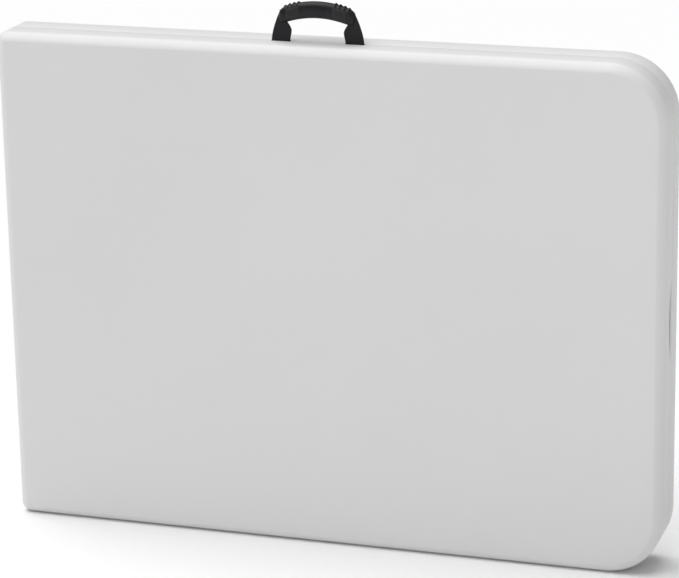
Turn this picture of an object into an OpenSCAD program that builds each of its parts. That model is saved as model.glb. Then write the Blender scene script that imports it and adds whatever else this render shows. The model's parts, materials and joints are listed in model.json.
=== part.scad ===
// Fold-in-half table, stored shut on its long edge with the legs inside.
// X runs along the table from the fold hinge to the outer end.
// Y is the thickness: the front half is at -Y and the rear half at +Y.
// Z is up, along the table's width.

/* [Table half] */
// length of one half from the hinge line, mm
half_length = 914; // [860:1:1000]
// width of the table, which is its height when stored, mm
table_width = 686; // [600:1:800]
// thickness of one half at the rim, mm
half_thick = 45; // [38:1:50]
// radius of the corners at the outer end, mm
outer_corner = 78; // [60:1:140]
// radius of the corners beside the fold, mm
fold_corner = 14; // [6:1:30]
// soft chamfer between the table top and the rim, mm
edge_round = 12; // [4:1:16]
// thickness of the rim that hangs down all round, mm
skirt = 12; // [8:1:20]
// depth of the hollow that takes the legs, mm
recess = 25.5; // [22:0.5:32]
// wall of the blow-moulded double skin, mm
skin = 2.5; // [1.5:0.1:4]
// space from the rim to the middle plane, mm
seam_gap = 0.25; // [0.15:0.05:1]

/* [Finger scallop] */
// length of the scallop in the outer rim, mm
scallop_length = 113; // [80:1:140]
// depth of the scallop below the rim, mm
scallop_depth = 13; // [6:1:18]

/* [Rails] */
// height of a rail across the table width, mm
rail_tall = 20; // [15:1:25]
// wall of a rail, mm
rail_wall = 1.5; // [1:0.1:2.5]
// outer face of the lower rail above the table edge, mm
rail_edge = 14; // [13:0.5:20]
// end of a rail nearest the hinge, mm
rail_start = 14; // [13:1:40]
// end of a rail nearest the outer end, mm
rail_end = 820; // [800:1:822]
// distance of the cross tube from the hinge line, mm
cross_at = 62; // [56:1:90]
// radius of the cross tube, mm
cross_r = 8; // [6:0.5:10]

/* [Fold hinge] */
// radius of a hinge ear around the pin, mm
ear_r = 6; // [5:0.5:7]
// thickness of a hinge ear, mm
ear_thick = 4; // [3:0.5:5]
// radius of a hinge pin, mm
pin_r = 3; // [2.5:0.1:4]

/* [Legs] */
// leg pivot from the hinge line, mm
leg_at = 808; // [780:1:820]
// leg centre line across the width from the table edge, mm
leg_inset = 57.5; // [52:0.5:80]
// outer radius of the leg tube, mm
leg_r = 10.5; // [9:0.5:11]
// wall of the leg tubes, mm
leg_wall = 1.2; // [1:0.1:2]
// radius of the sliding inner tube, mm
inner_r = 9; // [8:0.5:9]
// length of the outer leg tube from its pivot, mm
leg_tube_end = 352; // [320:1:360]
// pivot to foot bar with the leg pushed in, mm
foot_at = 404; // [390:1:404]
// radius of the pivot bolts, mm
bolt_r = 4; // [3:0.5:5]
// radius of the leg's cross bar, mm
leg_bar_r = 6; // [5:0.5:7]
// pivot to the leg's cross bar, mm
leg_bar_at = 250; // [220:1:280]

/* [Wire brace] */
// brace pivot from the hinge line, mm
brace_at = 480; // [470:1:500]
// radius of the brace wire, mm
brace_r = 4; // [3:0.5:5]
// pivot to the brace's end bar, mm
brace_length = 407; // [400:1:408]
// half the distance between the two arms, mm
brace_half = 60; // [40:1:90]

/* [Carry handle] */
// span over the two straps at the table edge, mm
handle_span = 127; // [110:1:150]
// length of the grip, mm
grip_length = 102; // [90:1:130]
// height of the grip's top above the table edge, mm
handle_rise = 57; // [50:1:75]
// thickness of a strap, mm
strap_thick = 4; // [3:0.5:5]
// width of a strap where it enters the rim, mm
strap_wide = 26; // [20:1:32]
// handle's middle towards the fold from the middle of the half, mm
handle_shift = 14; // [0:1:40]
// middle of the strap behind the seam plane, mm
strap_depth = 5.9; // [5:0.1:8]

/* [Hidden] */
$fn = 40;
eps = 0.01;
fit = 0.05;
run = 0.08;
over = 2;
// a cutter's overshoot inside thin walls
cut = 1;
// least radius left when a corner is drawn in
least_corner = 2;
hinge_to_centre = (half_length - ear_r) / 2;
panel_start = 0.5;
chamfer_step = 22.5;
notch_room = 4.5;
slot_ends = 0.8;
slot_faces = 0.4;
mid_z = table_width / 2;
rail_d0 = 2;
rail_d1 = recess - 1;
rail_top = rail_edge + rail_tall;
rail_mid = rail_edge + rail_tall / 2;
rail_mid_d = (rail_d0 + rail_d1) / 2;
leg_d = recess / 2;
leg_bore_r = leg_r - leg_wall;
cap_r = 12.2;
cap_clear = 0.3;
cap_off_rail = 0.4;
plug_length = 30;
rail_cap_thick = 3;
rail_plug = 7;
rail_plug_lap = 0.5;
foot_r = 11.8;
foot_out = 4;
foot_in = 16;
foot_bore_end = 20;
slider_end = 34;
collar_r = 12.2;
collar_start = 346;
collar_end = 380;
knob_at = 366;
knob_r = 11;
knob_face = leg_inset + collar_r + 2;
knob_tall = 17;
knob_neck_r = knob_r - 4;
knob_neck = 1.6;
knob_tip_gap = 0.2;
flute_r = 3.4;
flute_out = 1.6;
flute_base = 3;
flute_step = 60;
bar_bite = 3.4;
cradle_reach = 338;
cradle_length = 20;
cradle_near = leg_at - cradle_reach;
cradle_far = cradle_near + cradle_length;
cradle_side = 4;
cradle_lift = 3;
cradle_clear = 0.5;
cradle_over = 0.1;
catch_wall = 2.2;
catch_half = 14;
catch_slot = 2;
nut_gap = 1.3;
nut_tall = 5;
bolt_tail = 7;
bolt_head = 3;
bolt_head_tall = 1.7;
bar_d = 8.6;
brace_d = 19.5;
lug_thick = 4;
lug_gap = 12;
lug_r = 5.9;
lug_mid = brace_half + lug_gap + lug_thick / 2;
lug_root = 22;
lug_root_end = 10;
brace_tail = 3;
brace_bore_end = 8;
plate_thick = 2;
plate_far = 54;
plate_near = 9;
plate_half = 9;
plate_screws = [28, 46];
screw_r = 2.5;
shank_r = screw_r - 0.45;
pilot_r = screw_r - 0.4;
screw_way_r = screw_r + 0.1;
driver_r = screw_r + 2.6;
head_r = screw_r + 2;
head_tall = 2.4;
thread_in = 0.5;
rivet_head_r = screw_r + 1.6;
rivet_head = 1.4;
rivet_shank_end = 1.2;
rivet_to_end = 26;
hole_near = rail_start + rivet_to_end;
screw_first = 110;
screw_last = 760;
screw_count = 6;
scallop_r = (scallop_length * scallop_length / 4 + scallop_depth * scallop_depth)
          / (2 * scallop_depth);
ear_gap = 0.2;
ear_low = rail_mid - ear_thick - ear_gap;
ear_high = rail_mid + ear_gap;
ear_web = 1.5;
ear_tongue = 12;
pin_head = 2;
pin_end = 2;
pin_head_end = 3;
pin_head_gap = 0.3;
strap_x = handle_span / 2 - strap_wide / 2;
handle_mid = half_length / 2 - handle_shift;
strap_plain = 12;
strap_stop = 4;
strap_stop_deep = 5;
strap_stop_tall = 3;
strap_stop_gap = 0.3;
strap_root = table_width - rail_edge - rail_wall - strap_stop_tall;
// above 1 the round flattens towards a straight chamfer
chamfer_power = 10 / 7;
grip_half_tall = 11.3;
grip_half_deep = 9;
ridge_count = 4;
ridge_pitch = 6.5;
ridge_r = 3.4;
ridge_lift = 8.4;
ridge_half_deep = 6;
ridge_first = 13;
pad_half = 10;
pad_in = 22;
pad_step = 3.6;
neck_half = 9;
neck_in = 10;
neck_rise = 30;
grip_under_top = 12.5;
grip_z = table_width + handle_rise - grip_under_top;
core_end = 1;
core_low = 1;
core_high = 5;
pocket_low = 20;
pad_back = 6;
pad_front = 9.6;
pad_low = 5;
pad_high = 9;
groove_r = 1.2;
groove_out = 0.5;
groove_each_way = 2;
grip_drop = 8;
grip_steps = 6;
grip_half = grip_length / 2 - grip_half_deep;
neck_x = grip_length / 2 - neck_in;
pad_x = grip_length / 2 - pad_in;
function ridge_x(k) = grip_length / 2 - ridge_first - ridge_pitch * k;

white = "#e6e6e2";
steel = "#6f7276";
zinc = "#b9bbbd";
black = "#222326";
rubber = "#3a3b3d";

// ---------- placing ----------

// local x is the distance from the hinge line and local y the depth from the seam
module front_side() {
  translate([-hinge_to_centre, 0, 0])
    mirror([0, 1, 0])
      children();
}

module rear_side() {
  translate([-hinge_to_centre, 0, 0])
    children();
}

module upper_edge() {
  translate([0, 0, table_width])
    mirror([0, 0, 1])
      children();
}

module both_edges() {
  children();
  upper_edge()
    children();
}

// round bar along X between two distances
module bar_x(r, a, b) {
  translate([a, 0, 0])
    rotate([0, 90, 0])
      cylinder(r = r, h = b - a);
}

module bar_y(r, a, b) {
  translate([0, a, 0])
    rotate([-90, 0, 0])
      cylinder(r = r, h = b - a);
}

module bar_z(r, a, b) {
  translate([0, 0, a])
    cylinder(r = r, h = b - a);
}

module block(x0, x1, y0, y1, z0, z1) {
  translate([x0, y0, z0])
    cube([x1 - x0, y1 - y0, z1 - z0]);
}

// ---------- table halves ----------

// rounded rectangle drawn in from the table outline, between two depths
module plate(inset, d0, d1) {
  ro = outer_corner - inset;
  rf = max(fold_corner - inset, least_corner);
  x0 = panel_start + inset;
  x1 = half_length - inset;
  z0 = inset;
  z1 = table_width - inset;
  hull() {
    for (z = [z0 + rf, z1 - rf])
      translate([x0 + rf, 0, z])
        bar_y(rf, d0, d1, $fn = 32);
    for (z = [z0 + ro, z1 - ro])
      translate([x1 - ro, 0, z])
        bar_y(ro, d0, d1, $fn = 64);
  }
}

module panel_body() {
  hull() {
    plate(0, seam_gap, half_thick - edge_round);
    for (a = [chamfer_step : chamfer_step : 90])
      plate(edge_round * (1 - pow(cos(a), chamfer_power)), half_thick - edge_round,
            half_thick - edge_round + edge_round * pow(sin(a), chamfer_power));
  }
}

module hinge_notch() {
  block(-over, skirt + over, -over, rail_mid_d,
        ear_low - notch_room, ear_high + ear_thick + notch_room);
}

module panel() {
  difference() {
    panel_body();
    plate(skirt, -over, recess);
    plate(skirt + skin + cut, recess + skin, half_thick - skin);
    both_edges()
      hinge_notch();
    both_edges()
      rail_screw_holes();
    bracket_screw_holes();
  }
}

module finger_scallop() {
  translate([0, scallop_depth - scallop_r, mid_z])
    rotate([0, 90, 0])
      translate([0, 0, half_length - skirt - over])
        cylinder(r = scallop_r, h = skirt + 2 * over, $fn = 96);
}

module strap_slots() {
  for (s = [-1, 1])
    block(handle_mid + s * strap_x - strap_wide / 2 - slot_ends,
          handle_mid + s * strap_x + strap_wide / 2 + slot_ends,
          strap_depth - strap_thick / 2 - slot_faces, strap_depth + strap_thick / 2 + slot_faces,
          table_width - rail_edge - rail_wall - cut, table_width + over);
}

module front_panel() {
  color(white)
    front_side()
      difference() {
        panel();
        finger_scallop();
        strap_slots();
      }
}

module rear_panel() {
  color(white)
    rear_side()
      panel();
}

// ---------- rails ----------

module rail_screw_places() {
  for (i = [0 : screw_count - 1])
    translate([screw_first + i * (screw_last - screw_first) / (screw_count - 1), 0, rail_mid])
      children();
}

module rail_screw_holes() {
  rail_screw_places()
    bar_y(pilot_r, recess - cut, recess + skin + cut);
}

module rail() {
  difference() {
    block(rail_start, rail_end, rail_d0, rail_d1, rail_edge, rail_top);
    block(rail_start - over, rail_end + over, rail_d0 + rail_wall, rail_d1 - rail_wall,
          rail_edge + rail_wall, rail_top - rail_wall);
    translate([leg_at, leg_d, 0])
      bar_z(bolt_r + fit, rail_edge - cut, rail_top + cut);
    translate([hole_near, rail_mid_d, 0])
      bar_z(screw_r + fit, rail_edge - cut, rail_top + cut);
    rail_screw_places()
      bar_y(screw_way_r, rail_d1 - rail_wall - cut, rail_d1 + cut);
    rail_screw_places()
      bar_y(driver_r, rail_d0 - cut, rail_d0 + rail_wall + cut);
  }
}

module front_rail_lower() {
  color(steel)
    front_side()
      rail();
}

module front_rail_upper() {
  color(steel)
    front_side()
      difference() {
        upper_edge()
          rail();
        strap_slots();
      }
}

module rear_rail_lower() {
  color(steel)
    rear_side()
      rail();
}

module rear_rail_upper() {
  color(steel)
    rear_side()
      upper_edge()
        rail();
}

module rail_caps() {
  both_edges() {
    block(rail_end + fit, rail_end + rail_cap_thick, rail_d0, rail_d1, rail_edge, rail_top);
    block(rail_end - rail_plug, rail_end + rail_plug_lap,
          rail_d0 + rail_wall + fit, rail_d1 - rail_wall - fit,
          rail_edge + rail_wall + fit, rail_top - rail_wall - fit);
  }
}

module front_rail_caps() {
  color(black)
    front_side()
      rail_caps();
}

module rear_rail_caps() {
  color(black)
    rear_side()
      rail_caps();
}

// pan-head screws from inside each rail into the underside
module rail_screws() {
  both_edges()
    rail_screw_places() {
      bar_y(shank_r, rail_d1 - rail_wall - cut, recess + skin + thread_in);
      bar_y(head_r, rail_d1 - rail_wall - head_tall, rail_d1 - rail_wall - eps);
    }
}

module front_rail_screws() {
  color(zinc)
    front_side()
      rail_screws();
}

module rear_rail_screws() {
  color(zinc)
    rear_side()
      rail_screws();
}

module cross_tube() {
  translate([cross_at, rail_mid_d, 0])
    difference() {
      bar_z(cross_r, rail_top + fit, table_width - rail_top - fit);
      bar_z(cross_r - rail_wall, rail_top - cut, table_width - rail_top + cut);
    }
}

module front_cross_tube() {
  color(steel)
    front_side()
      cross_tube();
}

module rear_cross_tube() {
  color(steel)
    rear_side()
      cross_tube();
}

// ---------- fold hinge ----------

// flat ear round the pin with a tongue inside the rail
module hinge_ear(z0, bore) {
  difference() {
    union() {
      hull() {
        bar_z(ear_r, z0, z0 + ear_thick);
        block(ear_r, rail_start, rail_d0 + rail_wall + fit, rail_mid_d - ear_web,
              z0, z0 + ear_thick);
      }
      block(rail_start - eps, hole_near + ear_tongue, rail_d0 + rail_wall + fit,
            rail_d1 - rail_wall - fit, z0, z0 + ear_thick);
    }
    bar_z(bore, z0 - cut, z0 + ear_thick + cut);
    translate([hole_near, rail_mid_d, 0])
      bar_z(screw_r + fit, z0 - cut, z0 + ear_thick + cut);
  }
}

module front_hinge_ears() {
  color(zinc)
    front_side()
      both_edges()
        hinge_ear(ear_low, pin_r + fit);
}

module rear_hinge_ears() {
  color(zinc)
    rear_side()
      both_edges()
        hinge_ear(ear_high, pin_r + run);
}

module ear_rivets() {
  both_edges()
    translate([hole_near, rail_mid_d, 0]) {
      bar_z(screw_r, rail_edge - rivet_shank_end, rail_top + rivet_shank_end);
      bar_z(rivet_head_r, rail_edge - rivet_head, rail_edge - eps);
      bar_z(rivet_head_r, rail_top + eps, rail_top + rivet_head);
    }
}

module front_ear_rivets() {
  color(zinc)
    front_side()
      ear_rivets();
}

module rear_ear_rivets() {
  color(zinc)
    rear_side()
      ear_rivets();
}

module fold_pins() {
  color(zinc)
    front_side()
      both_edges() {
        bar_z(pin_r, ear_low - pin_end, ear_high + ear_thick + pin_end);
        bar_z(pin_r + pin_head, ear_low - pin_head_end, ear_low - pin_head_gap);
        bar_z(pin_r + pin_head, ear_high + ear_thick + pin_head_gap,
              ear_high + ear_thick + pin_head_end);
      }
}

// ---------- legs ----------

module leg_bolts() {
  both_edges()
    translate([leg_at, leg_d, 0]) {
      bar_z(bolt_r, rail_edge - cut, leg_inset + cap_r + bolt_tail);
      bar_z(bolt_r + bolt_head, rail_edge - bolt_head_tall, rail_edge - eps);
      translate([0, 0, leg_inset + cap_r + nut_gap])
        cylinder(r = bolt_r + bolt_head, h = nut_tall, $fn = 6);
    }
}

module front_leg_bolts() {
  color(zinc)
    front_side()
      leg_bolts();
}

module rear_leg_bolts() {
  color(zinc)
    rear_side()
      leg_bolts();
}

// saddle on the underside that the folded leg rests in
module leg_cradles() {
  both_edges()
    difference() {
      block(cradle_near, cradle_far, leg_d + cradle_lift, recess - fit,
            leg_inset - leg_r - cradle_side, leg_inset + leg_r + cradle_side);
      translate([0, leg_d, leg_inset])
        bar_x(leg_r + cradle_clear, cradle_near - over, cradle_far + over);
      block(cradle_near - over, cradle_far + over, leg_d - cut, leg_d + cradle_lift + cradle_over,
            leg_inset - leg_r - cradle_clear, leg_inset + leg_r + cradle_clear);
    }
}

module front_leg_cradles() {
  color(black)
    front_side()
      leg_cradles();
}

module rear_leg_cradles() {
  color(black)
    rear_side()
      leg_cradles();
}

module leg_frame() {
  difference() {
    union() {
      both_edges()
        translate([0, leg_d, leg_inset])
          bar_x(leg_r, leg_at - leg_tube_end, leg_at - cap_r - cap_clear);
      translate([leg_at - leg_bar_at, bar_d, 0])
        bar_z(leg_bar_r, leg_inset + leg_r - bar_bite,
              table_width - leg_inset - leg_r + bar_bite);
    }
    both_edges()
      translate([0, leg_d, leg_inset])
        bar_x(leg_bore_r, leg_at - leg_tube_end - cut, leg_at);
    translate([leg_at - leg_bar_at, bar_d, 0])
      bar_z(leg_bar_r - leg_wall, leg_inset + leg_r + over,
            table_width - leg_inset - leg_r - over);
  }
}

module front_leg() {
  color(steel)
    front_side()
      leg_frame();
}

module rear_leg() {
  color(steel)
    rear_side()
      leg_frame();
}

// moulded knuckle at the top of each leg, turning on its bolt
module leg_caps() {
  both_edges()
    difference() {
      union() {
        translate([leg_at, leg_d, 0])
          bar_z(cap_r, rail_top + cap_off_rail, leg_inset + cap_r);
        translate([0, leg_d, leg_inset])
          bar_x(leg_bore_r - fit, leg_at - plug_length, leg_at);
      }
      translate([leg_at, leg_d, 0])
        bar_z(bolt_r + run, rail_top - cut, leg_inset + cap_r + cut);
    }
}

module front_leg_caps() {
  color(black)
    front_side()
      leg_caps();
}

module rear_leg_caps() {
  color(black)
    rear_side()
      leg_caps();
}

module leg_collars() {
  both_edges()
    difference() {
      translate([0, leg_d, leg_inset])
        bar_x(collar_r, leg_at - collar_end, leg_at - collar_start);
      translate([0, leg_d, leg_inset])
        bar_x(leg_bore_r, leg_at - collar_end - cut, leg_at - collar_start + cut);
      translate([0, leg_d, leg_inset])
        bar_x(leg_r + fit, leg_at - leg_tube_end - fit, leg_at - collar_start + cut);
      translate([leg_at - knob_at, leg_d, 0])
        bar_z(pin_r + run, leg_inset, leg_inset + collar_r + cut);
    }
}

module front_leg_collars() {
  color(black)
    front_side()
      leg_collars();
}

module rear_leg_collars() {
  color(black)
    rear_side()
      leg_collars();
}

// clip round the leg's cross bar that catches the brace's end bar
module brace_catch() {
  difference() {
    translate([leg_at - leg_bar_at, bar_d, 0])
      bar_z(leg_bar_r + catch_wall, mid_z - catch_half, mid_z + catch_half);
    translate([leg_at - leg_bar_at, bar_d, 0])
      bar_z(leg_bar_r + fit, mid_z - catch_half - cut, mid_z + catch_half + cut);
    block(leg_at - leg_bar_at - catch_slot, leg_at - leg_bar_at + catch_slot, -over, bar_d,
          mid_z - catch_half - cut, mid_z + catch_half + cut);
  }
}

module front_brace_catch() {
  color(black)
    front_side()
      brace_catch();
}

module rear_brace_catch() {
  color(black)
    rear_side()
      brace_catch();
}

// sliding inner tubes joined by the foot bar
module leg_slider() {
  difference() {
    union() {
      both_edges()
        translate([0, leg_d, leg_inset])
          bar_x(inner_r, leg_at - foot_at, leg_at - slider_end);
      translate([leg_at - foot_at, leg_d, 0])
        bar_z(inner_r, leg_inset - cut, table_width - leg_inset + cut);
    }
    both_edges()
      translate([0, leg_d, leg_inset])
        bar_x(inner_r - leg_wall, leg_at - foot_at + inner_r + cut, leg_at - slider_end + cut);
    translate([leg_at - foot_at, leg_d, 0])
      bar_z(inner_r - leg_wall, leg_inset + inner_r + cut,
            table_width - leg_inset - inner_r - cut);
  }
}

module front_leg_slider() {
  color(zinc)
    front_side()
      leg_slider();
}

module rear_leg_slider() {
  color(zinc)
    rear_side()
      leg_slider();
}

module feet() {
  both_edges()
    difference() {
      translate([leg_at - foot_at, leg_d, 0])
        bar_z(foot_r, leg_inset - inner_r - foot_out, leg_inset + inner_r + foot_in);
      translate([leg_at - foot_at, leg_d, 0])
        bar_z(inner_r + fit, leg_inset - cut - fit, leg_inset + inner_r + foot_in + cut);
      translate([0, leg_d, leg_inset])
        bar_x(inner_r + fit, leg_at - foot_at, leg_at - foot_at + foot_bore_end);
    }
}

module front_feet() {
  color(rubber)
    front_side()
      feet();
}

module rear_feet() {
  color(rubber)
    rear_side()
      feet();
}

module knob() {
  translate([leg_at - knob_at, leg_d, 0])
    difference() {
      union() {
        bar_z(knob_r, knob_face, knob_face + knob_tall);
        bar_z(knob_neck_r, knob_face - knob_neck, knob_face + cut);
        bar_z(pin_r, leg_inset + leg_bore_r + knob_tip_gap, knob_face);
      }
      for (a = [0 : flute_step : 360 - flute_step])
        rotate([0, 0, a])
          translate([knob_r + flute_out, 0, 0])
            bar_z(flute_r, knob_face + flute_base, knob_face + knob_tall + cut);
    }
}

module front_knob_lower() {
  color(black)
    front_side()
      knob();
}

module front_knob_upper() {
  color(black)
    front_side()
      upper_edge()
        knob();
}

module rear_knob_lower() {
  color(black)
    rear_side()
      knob();
}

module rear_knob_upper() {
  color(black)
    rear_side()
      upper_edge()
        knob();
}

// ---------- wire brace ----------

module brace_ends(z) {
  translate([brace_at, brace_d, z])
    sphere(r = brace_r);
}

module brace() {
  for (s = [-1, 1]) {
    translate([0, brace_d, mid_z + s * brace_half])
      bar_x(brace_r, brace_at, brace_at + brace_length);
    brace_ends(mid_z + s * brace_half);
    translate([brace_at + brace_length, brace_d, mid_z + s * brace_half])
      sphere(r = brace_r);
  }
  translate([brace_at + brace_length, brace_d, 0])
    bar_z(brace_r, mid_z - brace_half, mid_z + brace_half);
  translate([brace_at, brace_d, 0]) {
    bar_z(brace_r, mid_z + brace_half, mid_z + brace_half + lug_gap + lug_thick + brace_tail);
    bar_z(brace_r, mid_z - brace_half - lug_gap - lug_thick - brace_tail, mid_z - brace_half);
  }
}

module front_brace() {
  color(steel)
    front_side()
      brace();
}

module rear_brace() {
  color(steel)
    rear_side()
      brace();
}

module bracket_screw_places() {
  for (s = [-1, 1])
    for (x = plate_screws)
      translate([brace_at - x, 0, mid_z + s * lug_mid])
        children();
}

module bracket_screw_holes() {
  bracket_screw_places()
    bar_y(pilot_r, recess - cut, recess + skin + cut);
}

// two floor plates, each with an ear for the brace's turned-out end
module brace_bracket() {
  for (s = [-1, 1])
    difference() {
      union() {
        block(brace_at - plate_far, brace_at - plate_near, recess - plate_thick - fit, recess - fit,
              mid_z + s * lug_mid - plate_half, mid_z + s * lug_mid + plate_half);
        hull() {
          translate([brace_at, brace_d, mid_z + s * lug_mid])
            translate([0, 0, -lug_thick / 2])
              cylinder(r = lug_r, h = lug_thick);
          block(brace_at - lug_root, brace_at - lug_root_end,
                recess - plate_thick - fit, recess - fit,
                mid_z + s * lug_mid - lug_thick / 2, mid_z + s * lug_mid + lug_thick / 2);
        }
      }
      translate([brace_at, brace_d, 0])
        bar_z(brace_r + run, mid_z - brace_half - lug_gap - brace_bore_end,
              mid_z + brace_half + lug_gap + brace_bore_end);
      bracket_screw_places()
        bar_y(screw_way_r, recess - plate_thick - over, recess + cut);
    }
}

module front_brace_bracket() {
  color(zinc)
    front_side()
      brace_bracket();
}

module rear_brace_bracket() {
  color(zinc)
    rear_side()
      brace_bracket();
}

module bracket_screws() {
  bracket_screw_places() {
    bar_y(shank_r, recess - plate_thick - cut, recess + skin + thread_in);
    bar_y(head_r, recess - plate_thick - head_tall, recess - plate_thick - fit - eps);
  }
}

module front_bracket_screws() {
  color(zinc)
    front_side()
      bracket_screws();
}

module rear_bracket_screws() {
  color(zinc)
    rear_side()
      bracket_screws();
}

// ---------- carry handle ----------

module strap_foot(s) {
  block(handle_mid + s * strap_x - strap_wide / 2, handle_mid + s * strap_x + strap_wide / 2,
        strap_depth - strap_thick / 2, strap_depth + strap_thick / 2,
        strap_root, table_width + strap_plain);
  block(handle_mid + s * strap_x - strap_wide / 2 - strap_stop,
        handle_mid + s * strap_x + strap_wide / 2 + strap_stop,
        strap_depth - strap_thick / 2, strap_depth + strap_thick / 2 + strap_stop_deep,
        strap_root - strap_stop_gap, strap_root + strap_stop_tall - strap_stop_gap);
}

module strap_neck(s) {
  hull() {
    block(handle_mid + s * strap_x - strap_wide / 2, handle_mid + s * strap_x + strap_wide / 2,
          strap_depth - strap_thick / 2, strap_depth + strap_thick / 2,
          table_width + strap_plain - cut, table_width + strap_plain);
    block(handle_mid + s * neck_x - neck_half, handle_mid + s * neck_x + neck_half,
          strap_depth - strap_thick / 2, strap_depth + strap_thick / 2,
          table_width + neck_rise, table_width + neck_rise + cut);
  }
}

module handle_strap() {
  color(black)
    front_side() {
      for (s = [-1, 1]) {
        strap_foot(s);
        strap_neck(s);
      }
      for (s = [-1, 1])
        block(handle_mid + s * neck_x - neck_half, handle_mid + s * neck_x + neck_half,
              strap_depth - strap_thick / 2, strap_depth + strap_thick / 2,
              table_width + neck_rise + cut - eps, grip_z - grip_drop);
      block(handle_mid - grip_length / 2 + core_end, handle_mid + grip_length / 2 - core_end,
            strap_depth - strap_thick / 2, strap_depth + strap_thick / 2,
            grip_z - grip_drop - core_low, grip_z - grip_drop + core_high);
    }
}

// one cross section of the grip, at a share of its length from -1 to 1
module grip_section(t) {
  translate([handle_mid + t * grip_half, strap_depth, grip_z - grip_drop * t * t])
    scale([1, 1, grip_half_tall / grip_half_deep])
      sphere(r = grip_half_deep, $fn = 32);
}

module strap_pocket() {
  block(handle_mid - grip_length / 2 + core_end - fit,
        handle_mid + grip_length / 2 - core_end + fit,
        strap_depth - strap_thick / 2 - fit, strap_depth + strap_thick / 2 + fit,
        grip_z - grip_drop - core_low - fit, grip_z - grip_drop + core_high + fit);
  for (s = [-1, 1])
    block(handle_mid + s * neck_x - neck_half - fit,
          handle_mid + s * neck_x + neck_half + fit,
          strap_depth - strap_thick / 2 - fit, strap_depth + strap_thick / 2 + fit,
          table_width + pocket_low, grip_z - grip_drop);
}

module pad_room(grow) {
  for (s = [-1, 1])
    block(handle_mid + s * pad_x - pad_half - grow,
          handle_mid + s * pad_x + pad_half + grow,
          strap_depth + pad_back - grow, strap_depth + pad_front,
          grip_z - grip_drop - pad_low - grow, grip_z - grip_drop + pad_high + grow);
}

module handle_grip() {
  color(black)
    front_side()
      difference() {
        union() {
          for (i = [0 : grip_steps - 1])
            hull() {
              grip_section(-1 + 2 * i / grip_steps);
              grip_section(-1 + 2 * (i + 1) / grip_steps);
            }
          for (s = [-1, 1])
            for (k = [0 : ridge_count - 1])
              translate([handle_mid + s * ridge_x(k), strap_depth,
                         grip_z + ridge_lift - grip_drop * pow(ridge_x(k) / grip_half, 2)])
                bar_y(ridge_r, -ridge_half_deep, ridge_half_deep, $fn = 24);
        }
        strap_pocket();
        pad_room(fit);
      }
}

// ribbed rubber pads let into the front of the grip
module handle_pads() {
  color(rubber)
    front_side()
      difference() {
        pad_room(0);
        for (s = [-1, 1])
          for (k = [-groove_each_way : groove_each_way])
            translate([handle_mid + s * pad_x + pad_step * k, strap_depth + pad_front + groove_out,
                       grip_z - grip_drop - pad_low - cut])
              cylinder(r = groove_r, h = pad_low + pad_high + 2 * cut, $fn = 16);
      }
}

// ---------- drawing ----------

front_panel();
rear_panel();
front_rail_lower();
front_rail_upper();
rear_rail_lower();
rear_rail_upper();
front_rail_caps();
rear_rail_caps();
front_rail_screws();
rear_rail_screws();
front_cross_tube();
rear_cross_tube();
front_hinge_ears();
rear_hinge_ears();
front_ear_rivets();
rear_ear_rivets();
fold_pins();
front_leg_bolts();
rear_leg_bolts();
front_leg_cradles();
rear_leg_cradles();
front_brace_bracket();
rear_brace_bracket();
front_bracket_screws();
rear_bracket_screws();
front_leg();
rear_leg();
front_leg_caps();
rear_leg_caps();
front_leg_collars();
rear_leg_collars();
front_brace_catch();
rear_brace_catch();
front_leg_slider();
rear_leg_slider();
front_feet();
rear_feet();
front_brace();
rear_brace();
front_knob_lower();
front_knob_upper();
rear_knob_lower();
rear_knob_upper();
handle_strap();
handle_grip();
handle_pads();
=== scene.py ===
"""Fold-in-half blow-moulded table, shut and standing on its long edge."""

import json
import logging
import math
from dataclasses import dataclass, field
from enum import Enum
from typing import Any, Iterable, Mapping, Union

import bmesh
import bpy
import numpy as np
from mathutils import Matrix, Vector


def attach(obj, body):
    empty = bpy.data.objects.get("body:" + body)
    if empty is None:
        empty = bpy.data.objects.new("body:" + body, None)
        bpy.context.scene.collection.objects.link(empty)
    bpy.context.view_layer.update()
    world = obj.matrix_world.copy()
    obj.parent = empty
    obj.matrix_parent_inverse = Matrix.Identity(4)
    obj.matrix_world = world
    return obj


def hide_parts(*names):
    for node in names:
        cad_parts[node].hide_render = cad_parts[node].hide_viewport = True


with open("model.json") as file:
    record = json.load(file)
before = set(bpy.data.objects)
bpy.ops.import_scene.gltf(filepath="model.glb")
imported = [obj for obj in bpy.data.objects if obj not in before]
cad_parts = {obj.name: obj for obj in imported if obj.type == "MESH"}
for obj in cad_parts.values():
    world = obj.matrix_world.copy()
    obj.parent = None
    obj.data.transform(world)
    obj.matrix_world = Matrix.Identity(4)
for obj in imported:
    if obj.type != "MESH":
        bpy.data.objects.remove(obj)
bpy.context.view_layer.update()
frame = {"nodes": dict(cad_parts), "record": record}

LOG = logging.getLogger("folding_table")
Array = np.ndarray
Colour = tuple[float, float, float]

HALF_LENGTH = 0.914
EAR_RADIUS = 0.006
WIDTH = 0.686
THICK = 0.045
HANDLE_SHIFT = 0.014
STRAP_X = 0.0505
HINGE_X = -(HALF_LENGTH - EAR_RADIUS) / 2


class Side(Enum):
    """A half of the table, with the sign of its depth along Y."""

    FRONT = -1
    REAR = 1

    @property
    def word(self) -> str:
        """Name of the half as the CAD nodes spell it."""
        return self.name.lower()


# ---------------------------------------------------------------- shader maths


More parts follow.
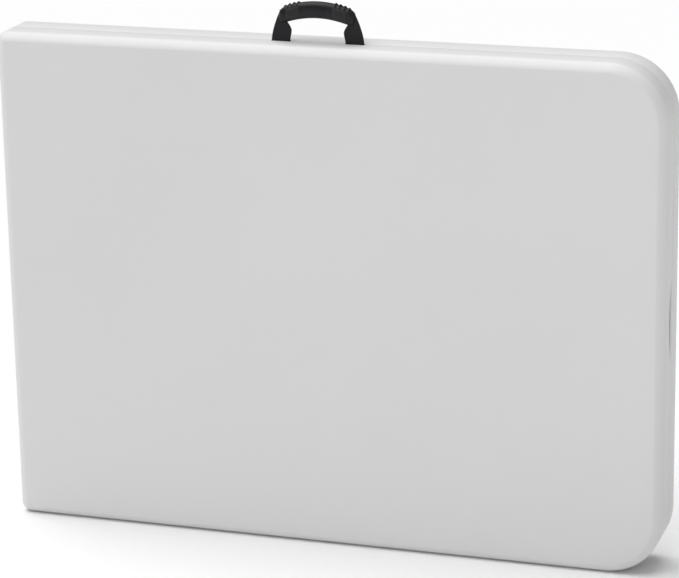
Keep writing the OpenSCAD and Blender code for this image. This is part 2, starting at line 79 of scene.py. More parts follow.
class Wire:
    """A socket's output that can be used in Python expressions."""

    def __init__(self, graph: "Graph", socket: bpy.types.NodeSocket) -> None:
        """Keep the graph and the output socket."""
        self.graph = graph
        self.socket = socket

    def _maths(self, operation: str, a: Any, b: Any) -> "Wire":
        """Add one Math node.

        Args:
            operation: the Math node's operation.
            a: first value or wire.
            b: second value or wire.

        Returns:
            The node's output.
        """
        return self.graph.node("ShaderNodeMath", {"operation": operation}, {0: a, 1: b})

    def __add__(self, other: Any) -> "Wire":
        """Sum."""
        return self._maths("ADD", self, other)

    def __radd__(self, other: Any) -> "Wire":
        """Sum with a number on the left."""
        return self._maths("ADD", other, self)

    def __sub__(self, other: Any) -> "Wire":
        """Difference."""
        return self._maths("SUBTRACT", self, other)

    def __rsub__(self, other: Any) -> "Wire":
        """Difference from a number on the left."""
        return self._maths("SUBTRACT", other, self)

    def __mul__(self, other: Any) -> "Wire":
        """Product."""
        return self._maths("MULTIPLY", self, other)

    def __rmul__(self, other: Any) -> "Wire":
        """Product with a number on the left."""
        return self._maths("MULTIPLY", other, self)


class Graph:
    """The node tree of one material."""

    def __init__(self, name: str) -> None:
        """Make an empty material with its surface shader and output.

        Args:
            name: the material's name.
        """
        self.material = bpy.data.materials.new(name)
        self.material.use_nodes = True
        self.tree = self.material.node_tree
        self.tree.nodes.clear()
        self.shader = self.tree.nodes.new("ShaderNodeBsdfPrincipled")
        output = self.tree.nodes.new("ShaderNodeOutputMaterial")
        self.tree.links.new(self.shader.outputs[0], output.inputs[0])

    def node(
        self,
        kind: str,
        settings: Mapping[str, Any],
        sockets: Mapping[Union[int, str], Any],
        output: Union[int, str] = 0,
    ) -> Wire:
        """Add a node, set it up and connect it.

        Args:
            kind: node type.
            settings: the node's own settings.
            sockets: a value or a wire for each input.
            output: which output to return.

        Returns:
            The chosen output.
        """
        made = self.tree.nodes.new(kind)
        for key, value in settings.items():
            setattr(made, key, value)
        for key, value in sockets.items():
            if isinstance(value, Wire):
                self.tree.links.new(value.socket, made.inputs[key])
            else:
                made.inputs[key].default_value = value
        return Wire(self, made.outputs[output])

    def place(self, stretch: tuple[float, float, float] = (1, 1, 1)) -> Wire:
        """Object coordinates, stretched per axis.

        Args:
            stretch: scale along X, Y and Z.

        Returns:
            The coordinates.
        """
        raw = self.node("ShaderNodeTexCoord", {}, {}, "Object")
        return self.node("ShaderNodeMapping", {}, {"Vector": raw, "Scale": stretch})

    def noise(self, where: Wire, scale: float, detail: float = 3.0) -> Wire:
        """Fractal noise around 0.5.

        Args:
            where: coordinates.
            scale: cycles per metre.
            detail: octaves.

        Returns:
            The noise value.
        """
        return self.node(
            "ShaderNodeTexNoise", {}, {"Vector": where, "Scale": scale, "Detail": detail}, 0
        )

    def pebbles(self, where: Wire, scale: float) -> Wire:
        """Distance to the nearest cell point, for moulded grain.

        Args:
            where: coordinates.
            scale: cells per metre.

        Returns:
            The distance.
        """
        return self.node("ShaderNodeTexVoronoi", {}, {"Vector": where, "Scale": scale}, "Distance")

    def ramp(self, value: Wire, low: float, high: float) -> Wire:
        """Linear step from 0 at low to 1 at high.

        Args:
            value: the wire to map.
            low: input that gives 0.
            high: input that gives 1.

        Returns:
            The clamped value.
        """
        return self.node(
            "ShaderNodeMapRange", {"clamp": True}, {0: value, 1: low, 2: high, 3: 0.0, 4: 1.0}
        )

    def blend(self, factor: Any, a: Any, b: Any) -> Wire:
        """Mix two colours.

        Args:
            factor: share of the second colour.
            a: first colour.
            b: second colour.

        Returns:
            The colour.
        """
        a, b = (c if isinstance(c, Wire) else (*c, 1.0) for c in (a, b))
        return self.node("ShaderNodeMix", {"data_type": "RGBA"}, {0: factor, 6: a, 7: b}, 2)

    def relief(self, height: Wire, distance: float, strength: float = 1.0) -> Wire:
        """Turn a height into a normal.

        Args:
            height: surface height, 0 to 1.
            distance: metres of one unit of height.
            strength: share of the effect.

        Returns:
            The normal.
        """
        return self.node(
            "ShaderNodeBump", {}, {"Height": height, "Distance": distance, "Strength": strength}
        )

    def finish(self, **sockets: Any) -> bpy.types.Material:
        """Set the surface shader's sockets.

        Args:
            sockets: input names with underscores for spaces.

        Returns:
            The finished material.
        """
        for key, value in sockets.items():
            socket = self.shader.inputs[key.replace("_", " ")]
            if isinstance(value, Wire):
                self.tree.links.new(value.socket, socket)
            else:
                socket.default_value = value
        return self.material


# ---------------------------------------------------------------- finishes


@dataclass(frozen=True)
class MouldedPolyethylene:
    """Off-white blow-moulded skin with a fine pebble grain and faint handling marks."""

    name: str = "panel_polyethylene"
    colour: Colour = (0.745, 0.745, 0.742)
    shade: Colour = (0.725, 0.727, 0.727)
    grain_per_m: float = 620.0
    grain_height: float = 0.00006

    def build(self) -> bpy.types.Material:
        """Make the material.

        Returns:
            The finished material.
        """
        g = Graph(self.name)
        where = g.place()
        cloudy = g.ramp(g.noise(where, 3.2, 2.0), 0.36, 0.68)
        fine = g.noise(where, 160.0, 3.0)
        grain = g.pebbles(where, self.grain_per_m)
        drawn = g.noise(g.place((2.0, 30.0, 46.0)), 5.0, 4.0)
        rub = g.ramp(drawn, 0.66, 0.74) * g.ramp(g.noise(where, 6.0, 2.0), 0.5, 0.64)
        tint = g.blend(cloudy * 0.7 + rub * 0.3, self.colour, self.shade)
        rough = 0.40 + fine * 0.12 + rub * 0.10
        height = grain * 0.75 + fine * 0.25
        return g.finish(
            Base_Color=tint,
            Roughness=rough,
            Normal=g.relief(height, self.grain_height),
            IOR=1.50,
            Subsurface_Weight=0.0,
        )


@dataclass(frozen=True)
class DarkMoulding:
    """Black injection-moulded plastic with a satin spark-eroded grain."""

    name: str
    colour: Colour = (0.009, 0.009, 0.011)
    worn: Colour = (0.017, 0.017, 0.020)
    roughness: float = 0.36
    grain_per_m: float = 1400.0
    sheen: float = 0.5

    def build(self) -> bpy.types.Material:
        """Make the material.

        Returns:
            The finished material.
        """
        g = Graph(self.name)
        where = g.place()
        cloud = g.ramp(g.noise(where, 45.0, 4.0), 0.4, 0.72)
        grain = g.noise(where, self.grain_per_m, 2.0)
        return g.finish(
            Base_Color=g.blend(cloud, self.colour, self.worn),
            Roughness=self.roughness + cloud * 0.12 + grain * 0.06,
            Normal=g.relief(grain, 0.00005),
            IOR=1.50,
            Specular_IOR_Level=self.sheen,
        )


@dataclass(frozen=True)
class PowderCoat:
    """Grey powder coat with orange peel and a few rubbed spots."""

    name: str = "grey_powder_coat"
    colour: Colour = (0.17, 0.175, 0.18)
    rubbed: Colour = (0.26, 0.26, 0.265)

    def build(self) -> bpy.types.Material:
        """Make the material.

        Returns:
            The finished material.
        """
        g = Graph(self.name)
        where = g.place()
        peel = g.noise(where, 420.0, 2.0)
        spots = g.ramp(g.noise(where, 38.0, 5.0), 0.62, 0.7)
        return g.finish(
            Base_Color=g.blend(spots, self.colour, self.rubbed),
            Roughness=0.36 + peel * 0.12 + spots * 0.1,
            Metallic=spots * 0.3,
            Normal=g.relief(peel, 0.00012),
        )


@dataclass(frozen=True)
class Plated:
    """Bright plated steel, drawn along an axis or mottled."""

    name: str
    stretch: tuple[float, float, float] = (1.0, 1.0, 1.0)
    colour: Colour = (0.60, 0.61, 0.61)
    dull: Colour = (0.44, 0.45, 0.46)
    scale: float = 300.0

    def build(self) -> bpy.types.Material:
        """Make the material.

        Returns:
            The finished material.
        """
        g = Graph(self.name)
        streak = g.noise(g.place(self.stretch), self.scale, 3.0)
        patch = g.ramp(g.noise(g.place(), 55.0, 4.0), 0.4, 0.7)
        return g.finish(
            Base_Color=g.blend(patch, self.colour, self.dull),
            Roughness=0.24 + streak * 0.16 + patch * 0.08,
            Metallic=1.0,
            Normal=g.relief(streak, 0.00003),
        )


@dataclass(frozen=True)
class SoftRubber:
    """Matt rubber with a chalky bloom."""

    name: str = "soft_rubber"
    colour: Colour = (0.010, 0.010, 0.011)
    bloom: Colour = (0.022, 0.022, 0.023)

    def build(self) -> bpy.types.Material:
        """Make the material.

        Returns:
            The finished material.
        """
        g = Graph(self.name)
        where = g.place()
        cloud = g.ramp(g.noise(where, 90.0, 5.0), 0.42, 0.68)
        grain = g.noise(where, 1100.0, 3.0)
        return g.finish(
            Base_Color=g.blend(cloud, self.colour, self.bloom),
            Roughness=0.66 + cloud * 0.14,
            Normal=g.relief(grain, 0.00008),
        )


@dataclass(frozen=True)
class PaintedFloor:
    """Plain pale studio floor with a barely visible tooth."""

    name: str = "studio_floor"

    def build(self) -> bpy.types.Material:
        """Make the material.

        Returns:
            The finished material.
        """
        g = Graph(self.name)
        tooth = g.noise(g.place(), 60.0, 2.0)
        return g.finish(
            Base_Color=g.blend(tooth, (0.90, 0.90, 0.90), (0.92, 0.92, 0.92)),
            Roughness=0.75 + tooth * 0.1,
        )


# ---------------------------------------------------------------- surfaces


def smooth_step(value: Array, low: float, high: float) -> Array:
    """Cubic ease from 0 at low to 1 at high, 3t^2 - 2t^3.

    Args:
        value: points to ease.
        low: where it starts.
        high: where it ends.

    Returns:
        The eased values.
    """
    t = np.clip((value - low) / (high - low), 0.0, 1.0)
    return t * t * (3.0 - 2.0 * t)


def skin_of(name: str, grid: Array, sharp_deg: float = 40.0) -> bpy.types.Object:
    """Make a closed tube of quads from rings of points, with capped ends.

    Ring i joins ring i + 1, each ring is closed on itself, and each end ring that has not
    already drawn together is closed with one face.

    Args:
        name: piece name.
        grid: rings by points by 3, in metres.
        sharp_deg: edges steeper than this stay sharp.

    Returns:
        The piece at the origin.
    """
    rings, points = grid.shape[:2]
    at = np.arange(rings * points).reshape(rings, points)
    nxt = np.roll(at, -1, axis=1)
    quads = np.stack([at[:-1], nxt[:-1], nxt[1:], at[1:]], axis=-1).reshape(-1, 4)
    faces = quads.tolist()
    for end in (0, -1):
        if np.ptp(grid[end], axis=0).max() > 1e-5:
            faces.append(at[end].tolist())
    mesh = bpy.data.meshes.new(name)
    mesh.from_pydata(grid.reshape(-1, 3).tolist(), [], faces)
    tidy(mesh, sharp_deg)
    piece = bpy.data.objects.new(name, mesh)
    bpy.context.scene.collection.objects.link(piece)
    return piece


def tidy(mesh: bpy.types.Mesh, sharp_deg: float) -> None:
    """Merge doubled points, point the faces outwards and shade smooth.

    Args:
        mesh: the mesh to mend.
        sharp_deg: edges steeper than this stay sharp.
    """
    bm = bmesh.new()
    bm.from_mesh(mesh)
    bmesh.ops.remove_doubles(bm, verts=bm.verts, dist=1e-6)
    bmesh.ops.dissolve_degenerate(bm, edges=bm.edges, dist=1e-7)
    bmesh.ops.recalc_face_normals(bm, faces=bm.faces)
    bm.to_mesh(mesh)
    bm.free()
    mesh.polygons.foreach_set("use_smooth", np.ones(len(mesh.polygons), dtype=bool))
    mesh.set_sharp_from_angle(angle=math.radians(sharp_deg))


def dress(piece: bpy.types.Object, material: bpy.types.Material) -> None:
    """Give a piece one material."""
    piece.data.materials.clear()
    piece.data.materials.append(material)


@dataclass
class Outline:
    """Rounded rectangle of the table half, drawn in by any inset with matching points."""

    fold_corner: float = 0.014
    outer_corner: float = 0.078
    start: float = 0.0005
    long_points: int = 112
    outer_points: int = 76
    fold_points: int = 92
    outer_arc: int = 26
    fold_arc: int = 8
    core: float = 0.33

    def at(self, inset: float) -> Array:
        """Points of the outline drawn in by inset.

        Each corner is an arc of its radius less the inset, and the sides are straight.

        Args:
            inset: metres in from the outline.

        Returns:
            Points by (distance from hinge, height).
        """
        ro = max(self.outer_corner - inset, 0.001)
        rf = max(self.fold_corner - inset, 0.001)
        x0, x1 = self.start + inset, HALF_LENGTH - inset
        z0, z1 = inset, WIDTH - inset
        parts = [
            self._line((x0 + rf, z0), (x1 - ro, z0), self.long_points),
            self._arc((x1 - ro, z0 + ro), ro, -90, self.outer_arc),
            self._line((x1, z0 + ro), (x1, z1 - ro), self.outer_points),
            self._arc((x1 - ro, z1 - ro), ro, 0, self.outer_arc),
            self._line((x1 - ro, z1), (x0 + rf, z1), self.long_points),
            self._arc((x0 + rf, z1 - rf), rf, 90, self.fold_arc),
            self._line((x0, z1 - rf), (x0, z0 + rf), self.fold_points),
            self._arc((x0 + rf, z0 + rf), rf, 180, self.fold_arc),
        ]
        return np.concatenate(parts)

    @staticmethod
    def _line(a: tuple[float, float], b: tuple[float, float], count: int) -> Array:
        """Evenly spaced points from a up to but not at b."""
        t = np.arange(count)[:, None] / count
        return (1 - t) * np.array(a) + t * np.array(b)

    @staticmethod
    def _arc(centre: tuple[float, float], radius: float, start_deg: float, count: int) -> Array:
        """Quarter circle from start_deg up to but not at its end."""
        a = np.radians(start_deg + 90 * np.arange(count) / count)
        return np.array(centre) + radius * np.stack([np.cos(a), np.sin(a)], axis=-1)

    def towards_core(self, inset: float, share: float) -> Array:
        """Outline shrunk towards the line down the middle of the half.

        Each point moves along a straight line to the nearest point of the middle line.

        Args:
            inset: the outline that share 0 gives.
            share: 0 at that outline and 1 on the middle line.

        Returns:
            Points by (distance from hinge, height).
        """
        edge = self.at(inset)
        middle = np.stack(
            [np.clip(edge[:, 0], self.core, HALF_LENGTH - self.core),
             np.full(len(edge), WIDTH / 2)],
            axis=-1,
        )
        return (1 - share) * edge + share * middle


@dataclass
class PanelShell:
    """One blow-moulded half: table top, rounded edge, rim, skirt and dimpled underside."""

    side: Side
    outline: Outline = field(default_factory=Outline)
    seam_gap: float = 0.00025
    lip_round: float = 0.0016
    edge_round: float = 0.012
    skirt: float = 0.012
    recess: float = 0.0255
    scallop_length: float = 0.113
    scallop_depth: float = 0.013
    dimple_pitch: float = 0.046
    dimple_radius: float = 0.013
    dimple_depth: float = 0.007
    top_rings: int = 26
    floor_rings: int = 80
    chamfer_power: float = 1.4
    fillet: float = 0.004
    crown: float = 0.00012
    crown_ease: int = 6
    wave_per_m: tuple[int, int] = (17, 21)
    wave_phase: float = 0.6
    dimple_flat: float = 0.35
    dimple_from_edge: float = 0.098
    dimple_from_fold: float = 0.07
    dimple_from_end: float = 0.05
    bracket_at: float = 0.452
    bracket_from_middle: float = 0.074
    bracket_clear: tuple[float, float] = (0.05, 0.03)
    notch_heights: tuple[float, float] = (0.0149, 0.0327)
    notch_reach: float = 0.0165
    notch_deep: float = 0.0132
    slot_half: float = 0.0138
    slot_depths: tuple[float, float] = (0.0035, 0.0083)
    slot_below: float = 0.02
    cut_over: float = 0.002
    sharp_deg: float = 50.0

    def scallop(self, z: Array, x: Array) -> Array:
        """Depth of the finger scallop, the circular arc through its length and depth.

        Args:
            z: heights.
            x: distances from the hinge.

        Returns:
            Extra depth of the rim at each point.
        """
        if self.side is Side.REAR:
            return np.zeros_like(z)
        half, deep = self.scallop_length / 2, self.scallop_depth
        radius = (half * half + deep * deep) / (2 * deep)
        away = np.clip(np.abs(z - WIDTH / 2), 0, half)
        arc = np.sqrt(radius * radius - away * away) - (radius - deep)
        return np.where(x > HALF_LENGTH / 2, np.clip(arc, 0, None), 0.0)

    def dimples(self, points: Array) -> Array:
        """Depth of the tack-off dimples that tie the two skins together.

        Each is a cone frustum eased at its rim, on a staggered grid, left out near the rails,
        legs, brackets and rim.

        Args:
            points: distance from hinge and height.

        Returns:
            Extra depth at each point.
        """
        x, z = points[:, 0], points[:, 1]
        row = np.round((z - WIDTH / 2) / self.dimple_pitch)
        shift = np.where(np.mod(row, 2) > 0.5, 0.5, 0.0)
        col = np.round(x / self.dimple_pitch - shift)
        cx, cz = (col + shift) * self.dimple_pitch, WIDTH / 2 + row * self.dimple_pitch
        away = np.hypot(x - cx, z - cz)
        deep = self.dimple_depth * (
            1 - smooth_step(away, self.dimple_radius * self.dimple_flat, self.dimple_radius)
        )
        from_edge = np.minimum(cz, WIDTH - cz)
        clear = (
            (from_edge > self.dimple_from_edge)
            & (cx > self.dimple_from_fold)
            & (cx < HALF_LENGTH - self.dimple_from_end)
        )
        from_middle = np.abs(cz - WIDTH / 2)
        along, across = self.bracket_clear
        near_bracket = (np.abs(cx - self.bracket_at) < along) & (
            np.abs(from_middle - self.bracket_from_middle) < across
        )
        return np.where(clear & ~near_bracket, deep, 0.0)

    def edge_profile(self) -> list[tuple[float, float]]:
        """Inset and depth down the outer side and across the table top's soft chamfer.

        The chamfer is a quarter of a superellipse, |u|^1.4 + |v|^1.4 = 1, which is nearly
        straight in its middle and eases at both ends.

        Returns:
            Pairs of inset and depth.
        """
        r, power = self.edge_round, 2.0 / self.chamfer_power
        turn = np.radians(np.linspace(0, 90, 17))
        inset = r * (1 - np.cos(turn) ** power)
        depth = THICK - r + r * np.sin(turn) ** power
        return list(zip(inset.tolist(), depth.tolist()))

    def rings(self) -> Array:
        """All rings from the middle of the underside round to the middle of the table top.

        Returns:
            Rings by points by (distance from hinge, depth, height).
        """
        made: list[Array] = []
        lip = self.lip_round

        def add(points: Array, depth: Array) -> None:
            """Append one ring at its depth."""
            made.append(np.column_stack([points[:, 0], depth, points[:, 1]]))

        inner = self.skirt + self.fillet
        for share in np.linspace(1, 0, self.floor_rings):
            points = self.outline.towards_core(inner, float(share))
            add(points, self.recess + self.dimples(points))
        for turn in np.radians([30, 60, 90]):
            points = self.outline.at(inner - self.fillet * math.sin(turn))
            add(points, np.full(len(points), self.recess - self.fillet * (1 - math.cos(turn))))
        for turn in np.radians([0, 30, 60, 90]):
            points = self.outline.at(self.skirt - lip * (1 - math.cos(turn)))
            low = self.seam_gap + self.scallop(points[:, 1], points[:, 0])
            add(points, low + lip * (1 - math.sin(turn)))
        for turn in np.radians([0, 30, 60, 90]):
            points = self.outline.at(lip * (1 - math.sin(turn)))
            low = self.seam_gap + self.scallop(points[:, 1], points[:, 0])
            add(points, low + lip * (1 - math.cos(turn)))
        for inset, depth in self.edge_profile():
            points = self.outline.at(inset)
            add(points, np.full(len(points), depth))
        for share in np.linspace(0, 1, self.top_rings)[1:]:
            points = self.outline.towards_core(self.edge_round, float(share))
            along, across = points[:, 0] * self.wave_per_m[0], points[:, 1] * self.wave_per_m[1]
            wave = np.sin(along) * np.sin(across + self.wave_phase)
            ease = min(1.0, float(share) * self.crown_ease)
            add(points, THICK - self.crown * ease * (1 + wave))
        return np.stack(made)

    def cutters(self) -> list[tuple[Vector, Vector]]:
        """Low and high corners of the hinge notches, and of the strap slots on the front.

        Returns:
            Pairs of corners in the half's own axes.
        """
        over = self.cut_over
        low, high = self.notch_heights
        boxes = [
            (Vector((-over, -over, z0)), Vector((self.notch_reach, self.notch_deep, z1)))
            for z0, z1 in ((low, high), (WIDTH - high, WIDTH - low))
        ]
        if self.side is Side.FRONT:
            near, far = self.slot_depths
            for sign in (-1, 1):
                x = HALF_LENGTH / 2 - HANDLE_SHIFT + sign * STRAP_X
                boxes.append(
                    (Vector((x - self.slot_half, near, WIDTH - self.slot_below)),
                     Vector((x + self.slot_half, far, WIDTH + over)))
                )
        return boxes

    def build(self, material: bpy.types.Material) -> bpy.types.Object:
        """Make the half and hang it on its body.

        Args:
            material: the skin's finish.

        Returns:
            The piece.
        """
        local = self.rings()
        world = local.copy()
        world[..., 0] += HINGE_X
        world[..., 1] *= self.side.value
        piece = skin_of(f"{self.side.word}_half_skin", world, self.sharp_deg)
        for low, high in self.cutters():
            cut_box(piece, self._to_world(low), self._to_world(high))
        tidy(piece.data, self.sharp_deg)
        dress(piece, material)
        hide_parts(f"{self.side.word}_panel")
        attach(piece, f"{self.side.word}_half")
        return piece

    def _to_world(self, corner: Vector) -> Vector:
        """Move a corner from the half's own axes to the table's."""
        return Vector((corner.x + HINGE_X, corner.y * self.side.value, corner.z))


def cut_box(piece: bpy.types.Object, a: Vector, b: Vector) -> None:
    """Cut a box out of a piece and apply the cut.

    Args:
        piece: the piece to cut.
        a: one corner.
        b: the opposite corner.
    """
    low = Vector(map(min, a, b))
    high = Vector(map(max, a, b))
    mesh = bpy.data.meshes.new("notch")
    bm = bmesh.new()
    bmesh.ops.create_cube(bm, size=1.0)
    bmesh.ops.transform(
        bm,
        matrix=Matrix.Translation((low + high) / 2) @ Matrix.Diagonal((*(high - low), 1.0)),
        verts=bm.verts,
    )
    bm.to_mesh(mesh)
    bm.free()
    cutter = bpy.data.objects.new("notch", mesh)
    bpy.context.scene.collection.objects.link(cutter)
    cut = piece.modifiers.new("notch", "BOOLEAN")
    cut.operation = "DIFFERENCE"
    cut.solver = "EXACT"
    cut.object = cutter
    graph = bpy.context.evaluated_depsgraph_get()
    result = bpy.data.meshes.new_from_object(piece.evaluated_get(graph))
    piece.modifiers.clear()
    piece.data = result
    bpy.data.objects.remove(cutter)
    bpy.data.meshes.remove(mesh)


@dataclass
class CarryHandle:
    """Moulded handle: arched grip with finger ridges, ribbed pads and flared straps."""

    length: float = 0.1030
    rise: float = 0.0555
    drop: float = 0.0105
    half_deep: float = 0.0088
    half_tall: float = 0.0110
    depth: float = 0.0059
    strap_thick: float = 0.004
    under_top: float = 0.0113
    settle: float = 0.0010
    end_gap: float = 0.0001
    end_power: int = 14
    end_round: float = 2.6
    section_power: float = 2.4
    crowding: float = 0.35
    flange_share: float = 0.07
    flange_place: float = 0.955
    flange_width: float = 0.03
    ridge_places: tuple[float, ...] = (0.86, 0.74, 0.62, 0.50)
    ridge_width: float = 0.027
    ridge_height: float = 0.0018
    pad_place: float = 0.62
    pad_reach: float = 0.17
    pad_turn_deg: float = 34
    pad_ribs: int = 6
    pad_edge: int = 8
    pad_proud: float = 0.0001
    pad_sunk: float = 0.0012
    rib_height: float = 0.0007
    strap_outer: float = 0.0633
    strap_inner: float = 0.0380
    lean: float = 0.0118
    lean_rise: float = 0.039
    lean_power: float = 1.6
    swell: float = 0.0022
    swell_rise: float = 0.030
    draw_back: float = 0.0070
    draw_rises: tuple[float, float] = (0.013, 0.036)
    strap_bottom: float = 0.0187
    strap_from: float = 0.013
    strap_top: float = 0.041
    strap_starts: tuple[float, ...] = (0.0, 0.003, 0.0031, 0.004)
    stop_below: float = 0.0156
    stop_outer: float = 0.0670
    stop_inner: float = 0.0340
    stop_half_deep: float = 0.0040
    stop_back: float = 0.0020
    strap_corner: float = 5.0

    @property
    def middle(self) -> float:
        """X of the handle's middle."""
        return HINGE_X + HALF_LENGTH / 2 - HANDLE_SHIFT

    @property
    def grip_z(self) -> float:
        """Height of the grip's centre line at its middle."""
        return WIDTH + self.rise - self.under_top

    def grip_point(self, t: Array, turn: Array, grow: float = 0.0) -> Array:
        """Surface of the grip.

        The centre line is a parabola. The section is a superellipse that closes at both
        ends by (1 - |t|^14)^(1/2.6), with a flange at each end and four
        ridges on the top beside it.

        Args:
            t: place along the grip, -1 to 1.
            turn: angle round it, 0 at the front and 90 degrees at the top.
            grow: metres out from the surface.

        Returns:
            Points.
        """
        close = np.clip(1 - np.abs(t) ** self.end_power, 0, 1) ** (1 / self.end_round)
        from_flange = (np.abs(t) - self.flange_place) / self.flange_width
        close = close * (1 + self.flange_share * np.exp(-(from_flange ** 2)))
        c, s = np.cos(turn), np.sin(turn)
        power = 2 / self.section_power
        ridge = sum(
            np.exp(-(((np.abs(t) - at) / self.ridge_width) ** 2)) for at in self.ridge_places
        ) * self.ridge_height * np.clip(s, 0, 1) ** 2 * close
        y = -(self.half_deep * close + grow) * np.sign(c) * np.abs(c) ** power
        z = (self.half_tall * close + grow) * np.sign(s) * np.abs(s) ** power + ridge
        x = self.middle + t * (self.length / 2 - self.end_gap)
        high = self.grip_z - self.drop * t * t + z - self.settle
        return np.stack([x + 0 * turn, y - self.depth, high], axis=-1)

    def build_grip(self, material: bpy.types.Material) -> bpy.types.Object:
        """Make the grip, with its rings closer together towards both ends.

        Args:
            material: the grip's finish.

        Returns:
            The piece.
        """
        u = np.linspace(-1, 1, 241)
        t = np.sin(u * math.pi / 2) * self.crowding + u * (1 - self.crowding)
        turn = np.linspace(0, 2 * math.pi, 64, endpoint=False)
        grid = self.grip_point(*np.meshgrid(t, turn, indexing="ij"))
        piece = skin_of("handle_grip_moulding", grid, 60.0)
        dress(piece, material)
        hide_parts("handle_grip")
        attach(piece, "handle")
        return piece

    def build_pads(self, material: bpy.types.Material) -> bpy.types.Object:
        """Make the two ribbed pads, each a thin lens whose front is a row of smooth ribs.

        Args:
            material: the pads' finish.

        Returns:
            The piece.
        """
        meshes = []
        for sign in (-1, 1):
            across = np.linspace(-1, 1, 61)
            around = np.linspace(-1, 1, 25)
            a, b = np.meshgrid(across, around, indexing="ij")
            t = sign * self.pad_place + a * self.pad_reach
            turn = b * math.radians(self.pad_turn_deg)
            edge = (1 - np.abs(a) ** self.pad_edge) * (1 - np.abs(b) ** self.pad_edge)
            ribs = 0.5 + 0.5 * np.cos(a * math.pi * self.pad_ribs)
            front = self.grip_point(t, turn, 0.0)
            front[..., 1] -= edge * (self.pad_proud + self.rib_height * ribs)
            back = self.grip_point(t, turn, -self.pad_sunk)
            meshes.append((front, back))
        piece = lens_pair("handle_pad_ribs", meshes)
        dress(piece, material)
        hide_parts("handle_pads")
        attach(piece, "handle")
        return piece

    def build_straps(self, material: bpy.types.Material) -> list[bpy.types.Object]:
        """Make both straps, from the stops inside the rail up into the grip.

        The outer edge leans in by a power of the height. The inner edge swells towards the
        middle of the handle and then draws back under the grip. The section is a superellipse.

        Args:
            material: the straps' finish.

        Returns:
            The pieces.
        """
        made = []
        low = WIDTH - self.strap_bottom
        heights = np.concatenate([
            low + np.array(self.strap_starts),
            np.linspace(WIDTH - self.strap_from, WIDTH + self.strap_top, 56),
        ])
        for word, sign in (("near_fold", -1), ("near_end", 1)):
            rise = heights - WIDTH
            outer = self.strap_outer - self.lean * np.clip(rise / self.lean_rise, 0, 1) ** self.lean_power
            inner = self.strap_inner - self.swell * np.sin(
                math.pi * np.clip(rise / self.swell_rise, 0, 1)
            ) ** 2 + self.draw_back * smooth_step(rise, *self.draw_rises)
            stop = rise < -self.stop_below
            outer = np.where(stop, self.stop_outer, outer)
            inner = np.where(stop, self.stop_inner, inner)
            deep = np.where(stop, self.stop_half_deep, self.strap_thick / 2)
            back = np.where(stop, self.stop_back, 0.0)
            a = np.linspace(0, 2 * math.pi, 48, endpoint=False)
            power = 2 / self.strap_corner
            cx = np.sign(np.cos(a)) * np.abs(np.cos(a)) ** power
            cy = np.sign(np.sin(a)) * np.abs(np.sin(a)) ** power
            mid, half = (outer + inner) / 2, (outer - inner) / 2
            x = self.middle + sign * (mid[:, None] + half[:, None] * cx)
            y = -self.depth - back[:, None] + deep[:, None] * cy
            z = np.broadcast_to(heights[:, None], x.shape)
            piece = skin_of(f"handle_strap_{word}", np.stack([x, y, z], axis=-1), 35.0)
            dress(piece, material)
            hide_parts("handle_strap")
            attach(piece, "handle")
            made.append(piece)
        return made


def lens_pair(name: str, sheets: list[tuple[Array, Array]]) -> bpy.types.Object:
    """Close front and back sheets round their edges into one piece.

    Args:
        name: piece name.
        sheets: front and back grids of the same size.

    Returns:
        The piece.
    """
    points: list[Array] = []
    faces: list[list[int]] = []
    base = 0
    for front, back in sheets:
        rows, cols = front.shape[:2]
        at = np.arange(rows * cols).reshape(rows, cols)
        quads = np.stack([at[:-1, :-1], at[1:, :-1], at[1:, 1:], at[:-1, 1:]], -1).reshape(-1, 4)
        rim = np.concatenate([at[:-1, 0], at[-1, :-1], at[:0:-1, -1], at[0, :0:-1]])
        far = rim + rows * cols
        wall = np.stack([rim, np.roll(rim, -1), np.roll(far, -1), far], -1)
        faces += (np.concatenate([quads, quads + rows * cols, wall]) + base).tolist()
        points += [front.reshape(-1, 3), back.reshape(-1, 3)]
        base += 2 * rows * cols
    mesh = bpy.data.meshes.new(name)
    mesh.from_pydata(np.concatenate(points).tolist(), [], faces)
    tidy(mesh, 50.0)
    piece = bpy.data.objects.new(name, mesh)
    bpy.context.scene.collection.objects.link(piece)
    return piece


# ---------------------------------------------------------------- carried-over CAD


@dataclass
class Hardware:
    """Finishes for the CAD nodes that are shown as they are."""

    finishes: Mapping[str, bpy.types.Material]

    def dress_all(self) -> int:
        """Give every CAD node the finish of its slot.

        Returns:
            How many nodes were dressed.
        """
        slots = {s["node"]: s["material_slot"] for s in frame["record"]["subparts"]}
        for node, piece in frame["nodes"].items():
            dress_node(piece, self.finishes[slots[node]])
        return len(slots)


def dress_node(piece: bpy.types.Object, material: bpy.types.Material) -> None:
    """Put one material in all of a CAD node's slots."""
    if not piece.material_slots:
        piece.data.materials.append(material)
    for held in piece.material_slots:
        held.material = material


# ---------------------------------------------------------------- studio


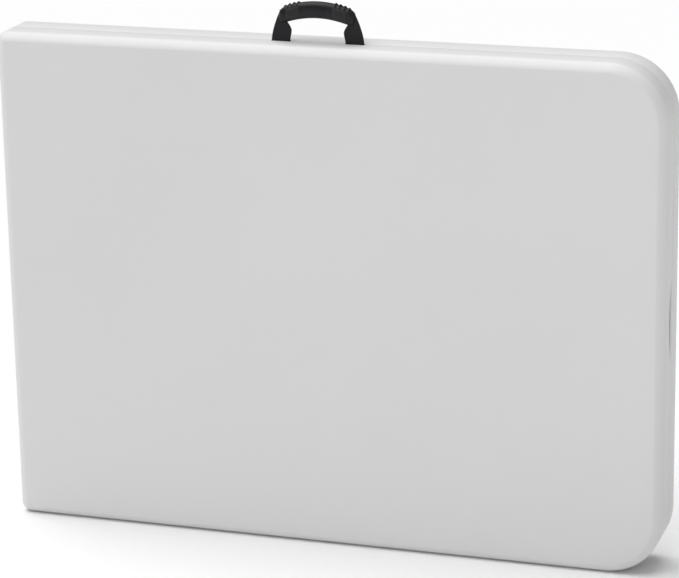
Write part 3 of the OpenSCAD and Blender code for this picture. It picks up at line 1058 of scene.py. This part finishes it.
@dataclass
class Studio:
    """Floor, soft lights, pale surroundings and the camera."""

    camera_at: tuple[float, float, float] = (1.1854, -3.5506, 1.4934)
    azimuth_deg: float = 18.3126
    elevation_deg: float = 16.9941
    roll_deg: float = -1.0744
    lens: float = 155.38
    sensor: float = 36.0
    floor_half: float = 30.0
    sun_strength: float = 2.80
    sun_angle_deg: float = 70
    sun_towards: tuple[float, float, float] = (0.32, 0.03, -1.0)
    front_at: tuple[float, float, float] = (0.9, -4.6, 2.6)
    front_to: tuple[float, float, float] = (0.2, 0.0, 0.5)
    front_size: float = 2.4
    front_power: float = 26.0
    surround: float = 0.25

    def build(self, floor: bpy.types.Material) -> None:
        """Make all of it.

        Args:
            floor: the floor's finish.
        """
        self._floor(floor)
        self._lights()
        self._camera()
        bpy.context.scene.view_settings.view_transform = "Standard"

    def _floor(self, material: bpy.types.Material) -> None:
        """Flat square floor under the table.

        Args:
            material: the floor's finish.
        """
        mesh = bpy.data.meshes.new("floor")
        size = self.floor_half
        corners = [(-size, -size, 0), (size, -size, 0), (size, size, 0), (-size, size, 0)]
        mesh.from_pydata(corners, [], [(0, 1, 2, 3)])
        plane = bpy.data.objects.new("floor", mesh)
        bpy.context.scene.collection.objects.link(plane)
        dress(plane, material)

    def _lights(self) -> None:
        """A broad soft light from above, a large one from the front, and pale surroundings."""
        sky = bpy.data.lights.new("overhead", "SUN")
        sky.energy = self.sun_strength
        sky.angle = math.radians(self.sun_angle_deg)
        lamp = bpy.data.objects.new("overhead", sky)
        bpy.context.scene.collection.objects.link(lamp)
        lamp.rotation_euler = Vector(self.sun_towards).to_track_quat("-Z", "Y").to_euler()
        self._area("front", self.front_at, self.front_to, self.front_size, self.front_power)
        world = bpy.data.worlds.new("studio")
        bpy.context.scene.world = world
        world.use_nodes = True
        back = world.node_tree.nodes["Background"]
        back.inputs[0].default_value = (1.0, 1.0, 1.0, 1.0)
        back.inputs[1].default_value = self.surround

    @staticmethod
    def _area(name: str, at: Iterable[float], to: Iterable[float], size: float, power: float) -> None:
        """Square area light aimed at a point.

        Args:
            name: the light's name.
            at: where it stands.
            to: the point it faces.
            size: length of its side.
            power: watts.
        """
        data = bpy.data.lights.new(name, "AREA")
        data.size = size
        data.energy = power
        lamp = bpy.data.objects.new(name, data)
        bpy.context.scene.collection.objects.link(lamp)
        lamp.location = Vector(at)
        lamp.rotation_euler = (Vector(to) - Vector(at)).to_track_quat("-Z", "Y").to_euler()

    def _camera(self) -> None:
        """Camera from its place, its direction and a small roll."""
        data = bpy.data.cameras.new("camera")
        data.lens = self.lens
        data.sensor_width = self.sensor
        camera = bpy.data.objects.new("camera", data)
        bpy.context.scene.collection.objects.link(camera)
        a, e = math.radians(self.azimuth_deg), math.radians(self.elevation_deg)
        ahead = Vector((-math.sin(a) * math.cos(e), math.cos(a) * math.cos(e), -math.sin(e)))
        roll = Matrix.Rotation(math.radians(self.roll_deg), 4, "Z")
        turn = ahead.to_track_quat("-Z", "Y").to_matrix().to_4x4() @ roll
        camera.matrix_world = Matrix.Translation(self.camera_at) @ turn
        bpy.context.scene.camera = camera


def main() -> None:
    """Build the table and the studio."""
    logging.basicConfig(level=logging.INFO)
    grey = PowderCoat().build()
    finishes = {
        "panel_plastic": MouldedPolyethylene().build(),
        "grey_steel": grey,
        "slider_steel": Plated("drawn_tube", dull=(0.56, 0.57, 0.57), scale=700.0).build(),
        "zinc_steel": Plated("zinc_plate").build(),
        "black_plastic": DarkMoulding("black_moulding", roughness=0.45).build(),
        "handle_plastic": DarkMoulding("handle_moulding", sheen=0.26).build(),
        "soft_rubber": SoftRubber().build(),
    }
    LOG.info("dressed %d CAD nodes", Hardware(finishes).dress_all())
    for side in Side:
        LOG.info("built %s", PanelShell(side).build(finishes["panel_plastic"]).name)
    handle = CarryHandle()
    LOG.info("built %s", handle.build_grip(finishes["handle_plastic"]).name)
    LOG.info("built %s", handle.build_pads(finishes["soft_rubber"]).name)
    for strap in handle.build_straps(finishes["handle_plastic"]):
        LOG.info("built %s", strap.name)
    Studio().build(PaintedFloor().build())


if __name__ == "__main__":
    main()
